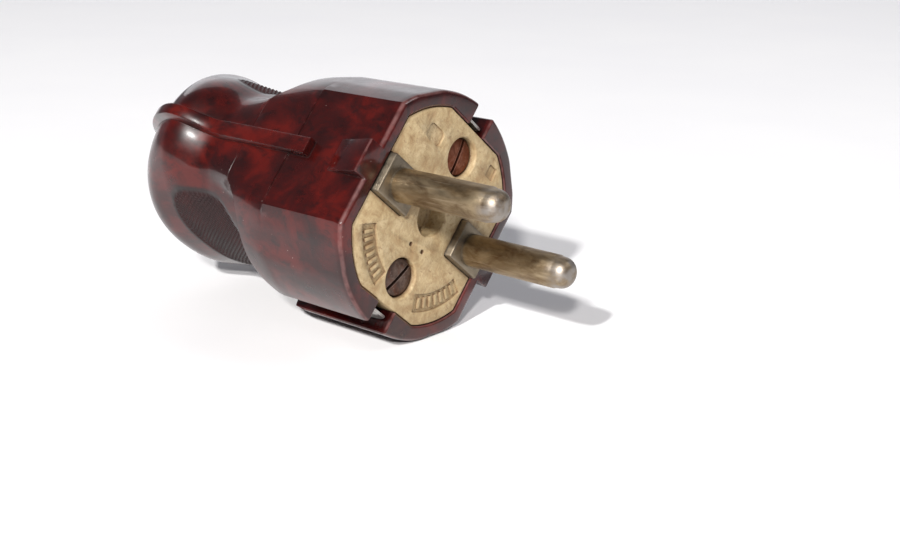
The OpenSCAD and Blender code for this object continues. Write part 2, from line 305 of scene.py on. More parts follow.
class Finish:
    """One material's nodes, with short calls for the patterns that the finishes share.

    Patterns lie in the drawn frame, in millimetres, so they stay with a piece when it moves.
    """

    def __init__(self, name, **sockets):
        self.material = bpy.data.materials.new(name)
        self.material.use_nodes = True
        self.tree = self.material.node_tree
        self.shader = self.tree.nodes["Principled BSDF"]
        for socket, value in sockets.items():
            self.put(socket.replace("_", " "), value)
        place = self.add("ShaderNodeMapping", Vector=self.add("ShaderNodeTexCoord").outputs["Object"],
                         Rotation=(-ROLL, 0, 0), Scale=(1 / MM, 1 / MM, 1 / MM))
        self.place = place.outputs["Vector"]
        self.normal = None

    def add(self, kind, settings=None, **inputs):
        """A node with its settings, and inputs that are values or other nodes' outputs."""
        node = self.tree.nodes.new(kind)
        for name, value in (settings or {}).items():
            setattr(node, name, value)
        for name, value in inputs.items():
            self.wire(node.inputs[name], value)
        return node

    def wire(self, socket, value):
        if isinstance(value, bpy.types.NodeSocket):
            self.tree.links.new(value, socket)
        else:
            socket.default_value = value

    def put(self, socket, value):
        """Sets or links one of the shader's own sockets."""
        self.wire(self.shader.inputs[socket], value)

    def stretched(self, scale):
        return self.add("ShaderNodeMapping", Vector=self.place, Scale=scale).outputs["Vector"]

    def noise(self, size, detail=4.0, roughness=0.5, distortion=0.0, stretch=(1, 1, 1)):
        """Noise whose blotches are about size millimetres across."""
        node = self.add("ShaderNodeTexNoise", Vector=self.stretched(stretch), Scale=1 / size,
                        Detail=detail, Roughness=roughness, Distortion=distortion)
        return node.outputs["Fac"]

    def cells(self, size, stretch=(1, 1, 1)):
        """Distance from the nearest of points scattered about size millimetres apart."""
        node = self.add("ShaderNodeTexVoronoi", Vector=self.stretched(stretch), Scale=1 / size)
        return node.outputs["Distance"]

    def ramp(self, factor, *stops):
        """Maps a factor through (position, grey or colour) stops."""
        node = self.add("ShaderNodeValToRGB", Fac=factor)
        elements = node.color_ramp.elements
        while len(elements) < len(stops):
            elements.new(0.5)
        for element, (position, colour) in zip(elements, stops):
            element.position = position
            if not isinstance(colour, tuple):
                colour = (colour, colour, colour)
            element.color = (*colour, 1)
        return node.outputs["Color"]

    def mix(self, factor, first, second):
        """The first colour where the factor is 0 and the second where it is 1."""
        node = self.add("ShaderNodeMix", {"data_type": "RGBA"})
        self.wire(node.inputs[0], factor)
        for socket, value in ((node.inputs[6], first), (node.inputs[7], second)):
            self.wire(socket, (*value, 1) if isinstance(value, tuple) else value)
        return node.outputs[2]

    def maths(self, operation, first, second=0.0):
        """A sum whose result is kept between 0 and 1."""
        node = self.add("ShaderNodeMath", {"operation": operation, "use_clamp": True})
        self.wire(node.inputs[0], first)
        self.wire(node.inputs[1], second)
        return node.outputs[0]

    def unclamped(self, operation, first, second=0.0):
        """As maths(), for results outside 0 to 1."""
        result = self.maths(operation, first, second)
        result.node.use_clamp = False
        return result

    def along(self, start, end):
        """0 up to x = start and 1 beyond x = end, in millimetres along the plug."""
        split = self.add("ShaderNodeSeparateXYZ", Vector=self.place)
        limits = {"From Min": start, "From Max": end}
        node = self.add("ShaderNodeMapRange", {"interpolation_type": "SMOOTHSTEP"},
                        Value=split.outputs["X"], **limits)
        return node.outputs["Result"]

    def edges(self, radius, start, end):
        """1 along the piece's sharp edges and 0 on its faces; radius in millimetres."""
        rounded = self.add("ShaderNodeBevel", {"samples": 4}, Radius=radius * MM)
        plain = self.add("ShaderNodeNewGeometry").outputs["Normal"]
        product = self.add("ShaderNodeVectorMath", {"operation": "DOT_PRODUCT"})
        self.wire(product.inputs[0], rounded.outputs["Normal"])
        self.wire(product.inputs[1], plain)
        return self.ramp(product.outputs["Value"], (1 - end, 1.0), (1 - start, 0.0))

    def crevices(self, distance, start=0.3, end=0.9):
        """1 deep in corners and 0 on open faces; distance in millimetres."""
        node = self.add("ShaderNodeAmbientOcclusion", {"samples": 6}, Distance=distance * MM)
        return self.ramp(node.outputs["AO"], (start, 1.0), (end, 0.0))

    def bump(self, height, strength, distance):
        """Adds relief of that many millimetres on top of the relief so far."""
        node = self.add("ShaderNodeBump", Height=height, Strength=strength, Distance=distance * MM)
        if self.normal is not None:
            self.wire(node.inputs["Normal"], self.normal)
        self.normal = node.outputs["Normal"]
        self.wire(self.shader.inputs["Normal"], self.normal)


def pad_masks(finish):
    """1 on the knurled pads, and 1 on a ring round each of them, where painted shade outlines a pad."""
    split = finish.add("ShaderNodeSeparateXYZ", Vector=finish.place)
    x, p, e = (split.outputs[axis] for axis in "XYZ")
    work = finish.unclamped
    angle = work("ARCTAN2", work("ABSOLUTE", p), work("ABSOLUTE", e))
    across = work("POWER", work("DIVIDE", angle, math.radians(PAD_ANGLE)), PAD_POWER)
    along = work("DIVIDE", work("SUBTRACT", x, PAD_X), PAD_HALF)
    oval = work("ADD", across, work("POWER", work("ABSOLUTE", along), PAD_POWER))
    oval = finish.maths("DIVIDE", oval, 2.0)
    pad = finish.ramp(oval, (0.46, 1.0), (0.54, 0.0))
    # painted shade: a ring round each pad's edge
    groove = finish.ramp(oval, (0.47, 0.0), (0.51, 0.9), (0.57, 0.9), (0.64, 0.0))
    return pad, groove


def bakelite():
    """Mottled dark red moulding, polished by handling, with fine scratches, fibres and specks."""
    finish = Finish("mottled_bakelite", IOR=1.45, Specular_IOR_Level=0.28, Coat_Roughness=0.1)
    blotches = finish.noise(6, detail=5, roughness=0.6, distortion=0.45, stretch=(0.8, 1, 1))
    base = finish.ramp(blotches, (0.38, DARK_RED), (0.5, MID_RED), (0.62, BRIGHT_RED))
    clouds = finish.ramp(finish.noise(16, detail=2), (0.48, 0.0), (0.64, 0.55))
    base = finish.mix(clouds, base, DARK_RED)
    mottle = finish.noise(2.2, detail=6, roughness=0.65, distortion=0.3, stretch=(0.6, 1, 1))
    base = finish.mix(finish.ramp(mottle, (0.52, 0.0), (0.64, 0.7)), base, BLACK_RED)
    # Painted highlight: a pale band along the rounding of the front rim, broken up by noise. The pale scuffs
    # on sharp edges are real wear, and both go into the worn colour.
    rim_highlight_band = finish.maths("SUBTRACT", finish.along(-0.75, -0.4), finish.along(-0.14, -0.02))
    wear_and_highlight = finish.maths("MULTIPLY", rim_highlight_band, finish.ramp(finish.noise(1.2), (0.3, 0.1), (0.6, 0.45)))
    scuffs = finish.edges(0.3, 0.08, 0.3)
    scuffs = finish.maths("MULTIPLY", scuffs, finish.ramp(finish.noise(0.9), (0.5, 0.0), (0.7, 0.5)))
    wear_and_highlight = finish.maths("ADD", wear_and_highlight, scuffs)
    base = finish.mix(wear_and_highlight, base, WEAR_AND_HIGHLIGHT_RED)
    specks = finish.ramp(finish.cells(1.5), (0.03, 1.0), (0.06, 0.0))
    specks = finish.maths("MULTIPLY", specks, finish.ramp(finish.noise(6), (0.5, 0.0), (0.62, 0.7)))
    fibres = finish.ramp(finish.cells(2.4, stretch=(0.3, 1, 0.8)), (0.018, 0.6), (0.03, 0.0))
    base = finish.mix(finish.maths("ADD", specks, fibres), base, FIBRE_WHITE)
    # Painted shade: corners and creases are darkened towards black-red. The same mask also makes them matt.
    recess_shade = finish.crevices(0.5, 0.4, 0.85)
    base = finish.mix(recess_shade, base, BLACK_RED)
    pad, pad_outline_shade = pad_masks(finish)
    base = finish.mix(finish.maths("MULTIPLY", pad, 0.75), base, PAD_BROWN)
    # Painted shade: the ring round each pad is darkened towards black-red.
    base = finish.mix(pad_outline_shade, base, BLACK_RED)
    finish.put("Base Color", base)
    rough = finish.ramp(finish.noise(3, detail=6, roughness=0.6), (0.35, 0.27), (0.7, 0.4))
    matt = finish.maths("ADD", recess_shade, pad)
    finish.put("Roughness", finish.mix(matt, rough, (0.6, 0.6, 0.6)))
    finish.put("Coat Weight", finish.ramp(matt, (0.0, 0.65), (1.0, 0.1)))
    finish.bump(finish.noise(0.3, detail=3, stretch=(0.1, 1, 1)), 0.2, 0.02)
    finish.bump(finish.noise(2.6, detail=4), 0.2, 0.1)
    finish.bump(finish.ramp(finish.cells(2.1), (0.03, 0.0), (0.07, 1.0)), 0.3, 0.05)
    return finish.material


def pressed_insert():
    """Cream fibrous pressing with a fine grain, brown stains and painted shade in its recesses."""
    finish = Finish("pressed_cream", IOR=1.5)
    broad = finish.noise(2.4, detail=5, roughness=0.65, distortion=0.5)
    base = finish.ramp(broad, (0.36, CREAM_STAIN), (0.48, CREAM_MID), (0.62, CREAM_LIGHT))
    grain = finish.noise(0.6, detail=6, roughness=0.7, distortion=0.4)
    base = finish.mix(finish.ramp(grain, (0.48, 0.0), (0.66, 0.65)), base, CREAM_STAIN)
    flecks = finish.noise(0.9, detail=4, roughness=0.6, stretch=(1, 0.5, 1.3))
    base = finish.mix(finish.ramp(flecks, (0.6, 0.0), (0.7, 0.6)), base, CREAM_BROWN)
    stains = finish.ramp(finish.noise(5, detail=7, roughness=0.66, distortion=0.8), (0.54, 0.0), (0.7, 0.6))
    base = finish.mix(stains, base, CREAM_BROWN)
    # Painted shade: darker brown in corners and recesses.
    base = finish.mix(finish.crevices(0.9, 0.35, 0.85), base, CREAM_RECESS_SHADE)
    finish.put("Base Color", base)
    finish.put("Roughness", finish.ramp(grain, (0.3, 0.5), (0.7, 0.75)))
    finish.bump(grain, 0.8, 0.12)
    finish.bump(broad, 0.7, 0.22)
    return finish.material


def worn_metal(name, dark, light, roughness, tarnish, tarnish_amount):
    """Worn metal: blotchy tarnish, lengthwise scratches and brighter edges."""
    finish = Finish(name, Metallic=1.0)
    tone = finish.noise(1.6, detail=6, roughness=0.6, distortion=0.6, stretch=(0.35, 1, 1))
    base = finish.ramp(tone, (0.34, dark), (0.66, light))
    patches = finish.noise(2.6, detail=7, roughness=0.62, distortion=1.0, stretch=(0.5, 1, 1))
    base = finish.mix(finish.ramp(patches, (0.5, 0.0), (0.64, tarnish_amount)), base, tarnish)
    lines = finish.noise(0.5, detail=3, stretch=(0.05, 1, 1))
    bright = tuple(min(1.0, 1.2 * value + 0.06) for value in light)
    base = finish.mix(finish.ramp(lines, (0.6, 0.0), (0.72, 0.5)), base, bright)
    base = finish.mix(finish.edges(0.25, 0.03, 0.25), base, bright)
    base = finish.mix(finish.crevices(0.8, 0.25, 0.75), base, tuple(0.35 * value for value in tarnish))
    finish.put("Base Color", base)
    low, high = roughness
    rough = finish.noise(0.7, detail=5, stretch=(0.3, 1, 1))
    finish.put("Roughness", finish.ramp(rough, (0.3, low), (0.7, high)))
    finish.bump(lines, 0.35, 0.03)
    finish.bump(finish.noise(1.2, detail=4), 0.25, 0.06)
    return finish


def metal(name, dark, light, roughness, tarnish_amount, tarnish=(0.12, 0.07, 0.04)):
    return worn_metal(name, dark, light, roughness, tarnish, tarnish_amount).material


def pin_metal():
    """Olive-brown pins, grey at the foot and rubbed bright at the tip."""
    finish = worn_metal("nickelled_brass", (0.19, 0.13, 0.07), (0.36, 0.28, 0.175), (0.4, 0.58),
                        (0.11, 0.06, 0.028), 0.6)
    base = finish.shader.inputs["Base Color"].links[0].from_socket
    rubbed = finish.noise(1.4, detail=5, stretch=(0.5, 1, 1))
    tip = finish.maths("MULTIPLY", finish.along(15.6, 18.2), finish.ramp(rubbed, (0.36, 0.2), (0.58, 1.0)))
    base = finish.mix(tip, base, NICKEL)
    foot = finish.maths("MULTIPLY", finish.maths("SUBTRACT", 1.0, finish.along(1.0, 1.6)), 0.7)
    base = finish.mix(foot, base, FOOT_GREY)
    finish.put("Base Color", base)
    finish.bump(finish.noise(0.3, detail=3, roughness=0.6), 0.5, 0.05)
    return finish.material


def hard_fibre():
    """Brown vulcanised fibre with a faint layered grain."""
    finish = Finish("hard_fibre", IOR=1.5)
    grain = finish.noise(0.8, detail=6, distortion=0.4, stretch=(0.3, 0.3, 2))
    finish.put("Base Color", finish.ramp(grain, (0.3, (0.16, 0.07, 0.03)), (0.7, (0.34, 0.17, 0.08))))
    finish.put("Roughness", finish.ramp(grain, (0.3, 0.5), (0.7, 0.8)))
    finish.bump(grain, 0.4, 0.08)
    return finish.material


def floor_finish():
    """Plain pale matt sheet."""
    finish = Finish("pale_floor", IOR=1.45)
    tone = finish.noise(40, detail=3)
    finish.put("Base Color", finish.ramp(tone, (0.3, (0.86, 0.86, 0.875)), (0.7, (0.88, 0.88, 0.89))))
    finish.put("Roughness", finish.ramp(tone, (0.3, 0.55), (0.7, 0.7)))
    finish.bump(finish.noise(0.6, detail=2), 0.05, 0.02)
    return finish.material


# ---- housing

COLLAR_R = 18.0
FLAT_P = 15.3  # side flats of the collar
FLAT_END = -16.0
COLLAR_END = -17.0
EDGE = 0.6  # rounding of the collar's front edge
RIM_CHAMFER = 0.25
LAND_HALF = 2.5  # half-width of the narrow lands that the plug lies on
LAND_R = math.sqrt(COLLAR_R**2 - LAND_HALF**2)
SHOULDER_SLOPE = 0.107  # fall of the radius behind the collar, and how fast it grows
SHOULDER_CURVE = 0.0024

LIP_X = -17.2  # lip in the middle of a thumb hollow
LIP_SWING = 5.0  # how far the lip swings back beside its middle
LIP_TAIL = 3.5  # and how much further at its ends
LIP_ANGLE = 66.0  # where a lip has run out, in degrees from the earth line
WALL_END = 1.15  # foot of the steep wall, behind the lip

NECK_P = 15.4  # half-width of the neck along the pin line
NECK_E = 12.9  # and along the earth line, on the floor of a thumb hollow
NECK_POWER = 2.18  # superellipse of the section
BULB_P = 19.2  # what the bulb would reach without its rounded end
BULB_E = 14.75
SWELL_P = (-31.3, -39.9)  # where the neck swells into the bulb
SWELL_E = (-38.0, -46.2)
ROUND_P = -36.3  # where the rounded end begins
ROUND_E = -43.4
ROUND_POWER = 1.75
TIP_X = -54.8  # tip of the rounded end, if it had no cord hole

PAD_FRONT = -26.8  # rows of the grid that hold a pad
PAD_BACK = -40.8
PAD_SINK = 0.14
KNURL = 0.4  # spacing of the knurl's points
KNURL_R = 14.5  # radius at which the columns have that spacing
KNURL_HEIGHT = 0.17

RIB_START = -12.0
RIB_BEND = -30.0  # from where a rib follows the bulb
RIB_HEIGHT = 1.3
RIB_HALF = 1.25
RIB_CORNER = 0.3
WEDGE_P = 17.4  # crest of a guide wedge, at the front
WEDGE_ROOT = 14.0
WEDGE_END = -7.6
WEDGE_HALF = 2.5
SLOT_HALF = 2.15  # half-width of an earth slot
SLOT_END = -21.2
SLOT_FLOOR = 14.8
SLOT_FRONT_FLOOR = 13.9  # where the slot opens into the carrier's pocket
POST_R = 3.8  # posts that hold the fixing inserts

carrier_low, carrier_high = drawn_box("contact_carrier")
POCKET_GAP = 0.1
POCKET_R = 15.8
POCKET_P = carrier_high[1] + POCKET_GAP
POCKET_E = carrier_high[2] + POCKET_GAP
POCKET_X = drawn_box("earth_bridge")[0][0]
CAVITY_R = 13.0  # cavity behind the carrier, round the clamp and before the cord hole
CHAMBER_R = 10.8
THROAT_R = 8.6
CORD_R = 4.6
MOUTH_R = 6.0
MOUTH_X = -53.4


def sine_cosine(angle):
    """Sine and cosine of an angle in degrees from the earth line."""
    return np.sin(np.radians(angle)), np.cos(np.radians(angle))


def smooth(start, end, value):
    """0 up to start and 1 beyond end, with an even rise between them."""
    t = np.clip((value - start) / (end - start), 0, 1)
    return t * t * (3 - 2 * t)


def lip_x(angle):
    """Where the collar ends above a thumb hollow; angle in degrees from the earth line."""
    angle = np.minimum(angle, LIP_ANGLE)
    swing = LIP_SWING * (1 - np.exp(-((angle / 15) ** 1.3)))
    tail = LIP_TAIL * (angle / LIP_ANGLE) ** 8
    return LIP_X - swing - tail


def rounded(x, start):
    """Share of the width that the rounded end leaves at x."""
    t = np.clip((start - x) / (start - TIP_X), 0, 1)
    return (1 - t**ROUND_POWER) ** (1 / ROUND_POWER)


def half_width(x):
    """Half-width of the neck and bulb along the pin line."""
    return (NECK_P + (BULB_P - NECK_P) * smooth(*SWELL_P, x)) * rounded(x, ROUND_P)


def neck_radius(x, angle):
    """Radius of the neck and bulb, whose sections are superellipses."""
    across_p = half_width(x)
    across_e = (NECK_E + (BULB_E - NECK_E) * smooth(*SWELL_E, x)) * rounded(x, ROUND_E)
    s, c = sine_cosine(angle)
    return ((s / across_p) ** NECK_POWER + (c / across_e) ** NECK_POWER) ** (-1 / NECK_POWER)


def land_radius(angle):
    """Radius of the flat lands, which lie level and upright in the CAD frame."""
    return LAND_R / np.cos(np.radians(angle) - abs(ROLL))


def shoulder_radius(x, angle):
    """Radius between the collar and the lip of a thumb hollow."""
    behind = np.maximum(COLLAR_END - x, 0)
    circle = COLLAR_R - SHOULDER_SLOPE * behind - SHOULDER_CURVE * behind**2
    circle = np.minimum(circle, land_radius(angle))
    side = (FLAT_P + 0.25) / np.maximum(np.sin(np.radians(angle)), 0.05)
    power = 40
    return (circle**-power + side**-power) ** (-1 / power)


def collar_radius(angle, inset=0.0):
    side = (FLAT_P - inset) / np.maximum(np.sin(np.radians(angle)), 0.05)
    return np.minimum(np.minimum(COLLAR_R, land_radius(angle)) - inset, side)


def behind_lip_radius(x, angle):
    """Radius from the lip backwards: a steep wall that runs out in a fillet on the grip."""
    lip = lip_x(angle)
    width = 1.1 + 14 * smooth(48, 72, angle)
    neck = neck_radius(x, angle)
    step = np.maximum(shoulder_radius(lip, angle) - neck, 0)
    u = np.clip((lip - x) / width, 0, 1)
    return neck + step * (1 - u) ** 3


def pocket_radius(angle, grow=0.0):
    s, c = sine_cosine(angle)
    flats = np.minimum((POCKET_P + grow) / np.maximum(s, 0.05), (POCKET_E + grow) / np.maximum(c, 0.05))
    return np.minimum(POCKET_R + grow, flats)


def quarter_angles():
    """Angles of the grid's columns over a quarter turn, from the earth line to the pin line."""
    pitch = math.degrees(KNURL / KNURL_R)
    pad = np.arange(0, 36) * pitch
    corner = math.degrees(math.asin(FLAT_P / COLLAR_R))
    return np.concatenate([pad, [corner - 0.5, corner, corner + 0.5], np.linspace(62, 90, 12)])


def collar_rows(angle):
    """Rows from the collar's rounded front edge back to its end."""
    rows = [(-EDGE * (1 - math.cos(turn)), collar_radius(angle, EDGE * (1 - math.sin(turn))))
            for turn in np.linspace(0, math.pi / 2, 4)]
    rows += [(x, collar_radius(angle)) for x in np.linspace(-1.5, FLAT_END + 0.02, 10)]
    rows += [(x, shoulder_radius(x, angle)) for x in (FLAT_END - 0.05, FLAT_END - 0.4, COLLAR_END)]
    return rows


def lip_rows(angle):
    """Rows over the lips of the thumb hollows and down their steep walls."""
    lip = lip_x(angle)
    rows = []
    for share in (0.3, 0.6, 0.85):
        x = COLLAR_END + (lip + 0.2 - COLLAR_END) * share
        rows.append((x, shoulder_radius(x, angle)))
    top = shoulder_radius(lip, angle)
    drop = np.clip(top - neck_radius(lip, angle), 0, 1)
    rows.append((lip + 0.12, top - 0.02 * drop))
    rows.append((lip + 0.03, top - 0.12 * drop))
    rows.append((lip - 0.03, behind_lip_radius(lip - 0.03, angle) - 0.05 * drop))
    for back in (0.1, 0.2, 0.33, 0.5, 0.7, 0.9, WALL_END):
        rows.append((lip - back, behind_lip_radius(lip - back, angle)))
    return rows


def grip_rows(angle):
    """Rows of the neck, the knurled pads and the rounded rear end."""
    wall_end = lip_x(angle) - WALL_END
    pad_front = np.minimum(PAD_FRONT, wall_end - 0.65)
    rows = []
    for share in (0.2, 0.4, 0.6, 0.8):
        x = wall_end + (pad_front - wall_end) * share
        rows.append((x, behind_lip_radius(x, angle)))
    count = int((PAD_FRONT - PAD_BACK) / KNURL)
    column = np.arange(len(angle))
    for i in range(count + 1):
        x = pad_front + (PAD_BACK - pad_front) * i / count
        oval = (np.abs(x - PAD_X) / PAD_HALF) ** PAD_POWER + (angle / PAD_ANGLE) ** PAD_POWER
        inside = 1 - smooth(0.93, 1.03, oval)
        tooth = np.where((i + column) % 2 == 0, KNURL_HEIGHT, 0.0)
        rows.append((x, behind_lip_radius(x, angle) + inside * (tooth - PAD_SINK)))
    end = MOUTH_X + 0.35
    steps = 28
    for i in range(1, steps + 1):
        x = PAD_BACK + (end - PAD_BACK) * math.sin(math.pi / 2 * i / steps)
        rows.append((x, neck_radius(x, angle)))
    return rows


def inside_rows(angle):
    """Rows from the mouth of the cord hole forward to the pocket's front edge."""
    rows = [
        (MOUTH_X + 0.1, MOUTH_R - 0.05), (MOUTH_X, MOUTH_R - 0.35), (MOUTH_X, CORD_R + 0.5),
        (MOUTH_X + 0.15, CORD_R + 0.15), (MOUTH_X + 0.5, CORD_R), (-45.4, CORD_R),
        (-41, THROAT_R), (-36, THROAT_R), (-30, CHAMBER_R), (-19.5, CHAMBER_R),
        (-16.4, CAVITY_R), (-14, CAVITY_R), (POCKET_X, CAVITY_R),
    ]
    rows += [(x, pocket_radius(angle)) for x in (POCKET_X, -7.0, -3.5, -RIM_CHAMFER)]
    return [*rows, (0.0, pocket_radius(angle, RIM_CHAMFER))]


def housing_grid():
    """The housing without its ribs, wedges and slots, as one closed grid.

    Its rows hold x and radius, each one value or one for every column of a quarter turn.
    """
    quarter = quarter_angles()
    rows = collar_rows(quarter) + lip_rows(quarter) + grip_rows(quarter) + inside_rows(quarter)
    size = len(quarter)
    around = []
    there, back = range(size - 1), range(size - 1, 0, -1)
    for sign_p, sign_e, order in ((1, 1, there), (1, -1, back), (-1, -1, there), (-1, 1, back)):
        around += [(sign_p, sign_e, j) for j in order]
    s, c = sine_cosine(quarter)
    points = []
    for row in rows:
        x, radius = (np.broadcast_to(value, size) for value in row)
        for sign_p, sign_e, j in around:
            points.append((x[j], sign_p * radius[j] * s[j], sign_e * radius[j] * c[j]))
    faces = []
    columns = len(around)
    for a, b, below_b, below_a in grid_faces(len(rows), columns, closed_rows=True):
        i, j = divmod(a, columns)
        if (i + around[j][2]) % 2 == 0:
            faces += [(a, b, below_a), (b, below_b, below_a)]
        else:
            faces += [(a, b, below_b), (a, below_b, below_a)]
    return new_object("housing_shell", points, faces)


def rib_path():
    """(x, p) along a rib's crest, each with the direction out of the moulding there."""
    crest = NECK_P + RIB_HEIGHT
    path = [(RIB_START, crest, 0.0, 1.0), (-21.0, crest, 0.0, 1.0)]
    steps = 34
    for i in range(steps + 1):
        x = RIB_BEND + (MOUTH_X + 0.02 - RIB_BEND) * math.sin(math.pi / 2 * i / steps)
        slope = float(half_width(x + 0.01) - half_width(x - 0.01)) / 0.02
        length = math.hypot(slope, 1)
        out_x, out_p = -slope / length, 1 / length
        path.append((x + RIB_HEIGHT * out_x, float(half_width(x)) + RIB_HEIGHT * out_p, out_x, out_p))
    path.append((path[-1][0], CORD_R + 0.3, -1.0, 0.0))
    return path


def side_rib(side):
    """Rib along a flank, which wraps round the rear end as far as the cord hole."""
    points = []
    for x, p, out_x, out_p in rib_path():
        half = RIB_HALF - 0.3 * float(smooth(-29, -36, x))
        root = -2.6 if out_p > 0.5 else -1.9
        section = [(-RIB_HALF, root), (-RIB_HALF, -RIB_HEIGHT), (-half, -RIB_CORNER),
                   (-half + 0.3 * RIB_CORNER, -0.3 * RIB_CORNER), (-half + RIB_CORNER, 0)]
        section += [(-e, height) for e, height in reversed(section)]
        for e, height in section:
            points.append((x + out_x * height, side * (p + out_p * height), e))
    return tube("rib", points, len(section))


def guide_wedge(side):
    """Wedge on a flat of the collar, highest at the front."""
    outline = [(0, side * WEDGE_ROOT), (0, side * WEDGE_P),
               (WEDGE_END, side * FLAT_P), (WEDGE_END, side * WEDGE_ROOT)]
    return soften(prism("wedge", outline, -WEDGE_HALF, WEDGE_HALF, axis="e"), 0.14)


def earth_slot(side):
    """Cutters for the slot that an earth contact lies in, with chamfered edges."""
    cutters = []
    for end, depth in ((SLOT_END, SLOT_FLOOR), (POCKET_X, SLOT_FRONT_FLOOR)):
        floor, top = sorted((side * depth, side * (COLLAR_R + 1)))
        cutters.append(block("slot", (end, -SLOT_HALF, floor), (1, SLOT_HALF, top)))
    inner, outer = side * (COLLAR_R - 0.35), side * (COLLAR_R + 1.15)
    flare = [(-SLOT_HALF - 1.5, outer), (SLOT_HALF + 1.5, outer), (SLOT_HALF, inner), (-SLOT_HALF, inner)]
    cutters.append(prism("slot_flare", flare, SLOT_END, 1))
    return cutters


def housing():
    shell = housing_grid()
    posts, holes = [], []
    for node in ("fixing_insert_upper", "fixing_insert_lower"):
        low, high = drawn_box(node)
        centre = (0, middle(low, high)[1])
        radius = half_across(low, high)
        posts.append(revolve("post", [(-20.0, POST_R), (-17.0, POST_R), (high[0], POST_R)], centre))
        holes.append(revolve("hole", [(low[0], radius), (high[0] + 1, radius)], centre))
    combine(shell, "UNION", side_rib(1), side_rib(-1), guide_wedge(1), guide_wedge(-1), *posts)
    bore = revolve("bore", [(MOUTH_X - 5, CORD_R + 0.7), (MOUTH_X - 1, CORD_R + 0.7),
                            (MOUTH_X - 0.4, CORD_R), (-46, CORD_R)])
    cut(shell, *earth_slot(1), *earth_slot(-1), *holes, bore)
    return finish_piece(shell, "housing", "bakelite", BAKELITE, "housing")


# ---- carrier

FACE_X = carrier_high[0]
BACK_X = carrier_low[0]
FOOT_BACK = -3.2  # back of a pin's foot, which lies in a pocket of the face
FOOT_GAP = 0.12
TAIL_HOLE_R = 2.15
HEAD_HOLE_R = 2.95  # counterbore of a fixing screw
SHANK_HOLE_R = 1.7
BLIND_R = 2.9  # blind centre hole
BAND_INNER = 11.1  # sunken bands on the face, and the ticks in them
BAND_OUTER = 13.8
BAND_DEPTH = 0.35
TICK_GAP = 0.55
TICK_HALF = 0.24
PIN_R = 2.4
DOME_LENGTH = 1.75  # rounded tip of a pin
SCREW_THREAD = (1.48, 0.5)  # radius and pitch
CLAMP_THREAD = (1.13, 0.45)


def flatted_outline(radius, half_p, half_e):
    """A circle cut by two flats along each line."""
    steps = 16
    start = math.acos(min(1, half_p / radius))
    end = math.asin(min(1, half_e / radius))
    quarter = [start + (end - start) * i / steps for i in range(steps + 1)]
    turns = [quarter, [math.pi - a for a in reversed(quarter)],
             [math.pi + a for a in quarter], [2 * math.pi - a for a in reversed(quarter)]]
    return [(radius * math.cos(a), radius * math.sin(a)) for turn in turns for a in turn]


def arc_band(start, end, ticks):
    """Cutter for a sunken band on the carrier's face, with raised ticks; angles from the pin line."""
    steps = 20
    turns = [math.radians(start + (end - start) * i / steps) for i in range(steps + 1)]
    outline = [(BAND_OUTER * math.cos(a), BAND_OUTER * math.sin(a)) for a in turns]
    outline += [(BAND_INNER * math.cos(a), BAND_INNER * math.sin(a)) for a in reversed(turns)]
    band = prism("band", outline, FACE_X - BAND_DEPTH, 1)
    bars = []
    for k in range(1, ticks + 1):
        bar = block("bar", (FACE_X - 2, BAND_INNER + TICK_GAP, -TICK_HALF),
                    (FACE_X - 0.08, BAND_OUTER - TICK_GAP, TICK_HALF))
        turn = math.radians(start + (end - start) * k / (ticks + 1))
        bar.data.transform(Matrix.Rotation(turn, 4, "X"))
        bars.append(bar)
    return cut(band, *bars)


def carrier_holes():
    """Cutters for the pins, the screws and the blind centre hole."""
    cutters = []
    for node in ("pin_left", "pin_right"):
        low, high = drawn_box(node)
        centre = (middle(low, high)[0], 0)
        foot = rounded_outline(high[1] - low[1] + 2 * FOOT_GAP, high[2] - low[2] + 2 * FOOT_GAP, 0.35, centre)
        cutters.append(prism("foot_pocket", foot, FOOT_BACK, 1))
        cutters.append(revolve("tail_hole", [(BACK_X - 1, TAIL_HOLE_R), (1, TAIL_HOLE_R)], centre))
    mouth_r = HEAD_HOLE_R + 0.5
    for node in ("fixing_screw_upper", "fixing_screw_lower"):
        low, high = drawn_box(node)
        centre = (0, middle(low, high)[1])
        head = [(high[0] - 2.0, HEAD_HOLE_R), (FACE_X - 0.2, HEAD_HOLE_R),
                (FACE_X + 0.3, mouth_r), (1, mouth_r)]
        cutters.append(revolve("head_hole", head, centre))
        cutters.append(revolve("shank_hole", [(BACK_X - 1, SHANK_HOLE_R), (1, SHANK_HOLE_R)], centre))
    blind = [(FACE_X - 3.4, BLIND_R - 0.3), (FACE_X - 3.1, BLIND_R), (FACE_X - 0.15, BLIND_R),
             (FACE_X + 0.35, BLIND_R + 0.5)]
    cutters.append(revolve("centre_hole", blind))
    cutters.append(revolve("earth_screw_hole", [(BACK_X - 1, SHANK_HOLE_R), (-6.9, SHANK_HOLE_R)]))
    return cutters


def carrier_marks():
    """Cutters for the plain marks that are pressed into the face."""
    cutters = [arc_band(213, 253, 7), arc_band(292, 335, 7)]
    for outline in (rounded_outline(3.6, 2.4, 0.8, (-7.0, 9.5)), rounded_outline(2.0, 2.0, 0.3, (7.0, 11.5))):
        cutters.append(prism("dimple", outline, FACE_X - 0.4, 1))
    for centre in ((-1.4, -5.1), (1.4, -4.9)):
        cutters.append(revolve("dimple", [(FACE_X - 0.5, 0.35), (1, 0.35)], centre, columns=20))
    return cutters


def contact_carrier():
    outline = flatted_outline(carrier_high[1] + 2.5, carrier_high[1], carrier_high[2])
    piece = prism("pressed_carrier", outline, BACK_X, FACE_X)
    soften(piece, 0.3)
    cut(piece, *carrier_holes(), *carrier_marks())
    soften(piece, 0.1)
    return finish_piece(piece, "carrier", "pressed_insert", CREAM, "contact_carrier")


